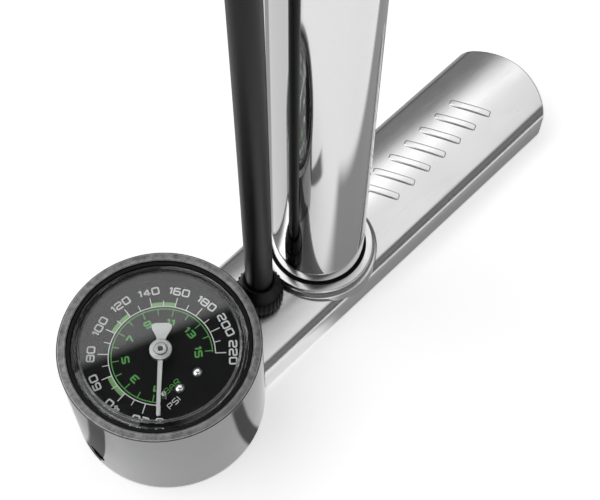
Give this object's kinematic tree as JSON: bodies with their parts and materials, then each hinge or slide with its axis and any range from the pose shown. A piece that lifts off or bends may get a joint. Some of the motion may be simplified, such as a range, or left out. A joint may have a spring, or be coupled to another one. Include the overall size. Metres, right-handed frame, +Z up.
{
  "type": "floor bike pump",
  "caption": "Floor bicycle pump: polished barrel and T-handle on a narrow beam foot, with a dial gauge in the end of the foot and a rubber hose with a lever chuck.",
  "frame": {"origin": "the floor, on the barrel axis, at the centre of the foot pad under the barrel", "axes": "+Z up along the barrel; +X along the foot from the gauge pod to the far end; -Y to the side that the dial reads from"},
  "size_m": [0.251, 0.075, 0.6428],
  "materials": {
    "polished_alloy": "mirror polished",
    "hard_chrome": "hard chromed, ground",
    "satin_alloy": "satin, machined",
    "black_rubber": "smooth matt",
    "black_nylon": "fine moulded",
    "clear_lens": "clear, polished",
    "dial_print": "matt black, printed in white and green",
    "needle_silver": "satin silver",
    "movement_brass": "turned brass",
    "bright_steel": "zinc plated, bright"
  },
  "bodies": {
    "base": {"air_manifold": "satin_alloy", "barrel": "polished_alloy", "barrel_base_plug": "satin_alloy", "barrel_collar": "polished_alloy", "base_plate_screws": "bright_steel", "bore_plug": "movement_brass", "bourdon_tube": "movement_brass", "cap_bush": "black_nylon", "centre_foot_pad": "black_rubber", "check_spring": "bright_steel", "chuck_cap": "black_nylon", "chuck_dock": "black_nylon", "chuck_gasket": "black_rubber", "chuck_head": "satin_alloy", "collar_seal": "black_rubber", "dial_face": "dial_print", "dial_posts": "movement_brass", "dial_screws": "bright_steel", "end_foot_pads": "black_rubber", "foot_beam": "polished_alloy", "gauge_case": "black_nylon", "gauge_gasket": "black_rubber", "gauge_lens": "clear_lens", "gauge_pod": "polished_alloy", "gauge_socket": "movement_brass", "hose": "black_rubber", "hose_ferrule": "satin_alloy", "hose_fitting": "movement_brass", "hose_hook": "black_nylon", "hose_nut": "black_nylon", "lever_pin": "bright_steel", "movement_bottom_plate": "movement_brass", "movement_pillars": "movement_brass", "movement_screws": "bright_steel", "movement_top_plate": "movement_brass", "needle_stop_pin": "bright_steel", "plug_seal": "black_rubber", "pod_base_plate": "satin_alloy", "pod_bolt": "bright_steel", "pod_foot_pad": "black_rubber", "top_cap": "satin_alloy"},
    "piston": {"piston_head": "satin_alloy", "piston_seal": "black_rubber", "piston_wear_ring": "black_nylon"},
    "handle": {"piston_rod": "hard_chrome", "piston_bolt": "bright_steel", "handle_bumper": "black_rubber", "handle_hub": "satin_alloy", "hub_pin": "bright_steel", "handle_bar": "bright_steel", "near_grip": "black_rubber", "far_grip": "black_rubber", "grip_end_caps": "satin_alloy"},
    "check_valve": {"check_ball": "bright_steel"},
    "gauge_sector": {"sector_gear": "movement_brass"},
    "gauge_link": {"gauge_link": "movement_brass"},
    "gauge_needle": {"needle": "needle_silver", "pinion": "movement_brass"},
    "chuck_lever": {"chuck_lever": "satin_alloy"},
    "chuck_plunger": {"chuck_plunger": "black_nylon"}
  },
  "joints": [
    {"name": "handle_slide", "type": "slide", "parent": "base", "child": "piston", "axis": [0, 0, 1], "range_m": [0, 0.49]},
    {"name": "handle_turn", "type": "hinge", "parent": "piston", "child": "handle", "pos_m": [0, 0, 0.05], "axis": [0, 0, 1], "continuous": true},
    {"name": "check_valve_lift", "type": "slide", "parent": "base", "child": "check_valve", "axis": [0, 0, -1], "range_m": [0, 0.0015], "stiffness_N_per_m": 60, "springref_m": -0.002, "deforming": ["check_spring"]},
    {"name": "sector_turn", "type": "hinge", "parent": "base", "child": "gauge_sector", "pos_m": [-0.06294, -0.01724, 0.029], "axis": [0, 0, 1], "range_deg": [0, 33.75], "stiffness_Nm_per_rad": 0.002, "deforming": ["bourdon_tube"]},
    {"name": "needle_turn", "type": "hinge", "parent": "base", "child": "gauge_needle", "pos_m": [-0.0774, 0, 0.044], "axis": [0, 0, -1], "range_deg": [0, 270]},
    {"name": "link_swing", "type": "hinge", "parent": "gauge_sector", "child": "gauge_link", "pos_m": [-0.06423, -0.01241, 0.0272], "axis": [0, 0, -1], "range_deg": [0, 33.75]},
    {"name": "chuck_lever_turn", "type": "hinge", "parent": "base", "child": "chuck_lever", "pos_m": [0.0345, -0.013, 0.19], "axis": [1, 0, 0], "range_deg": [0, 90]},
    {"name": "chuck_plunger_slide", "type": "slide", "parent": "base", "child": "chuck_plunger", "axis": [0, 1, 0], "range_m": [0, 0.0015]}
  ],
  "couplings": [
    {"joint": "needle_turn", "follows": "sector_turn", "ratio": 8},
    {"joint": "link_swing", "follows": "sector_turn", "ratio": 1},
    {"joint": "chuck_plunger_slide", "follows": "chuck_lever_turn", "m_per_rad": 0.00095}
  ]
}
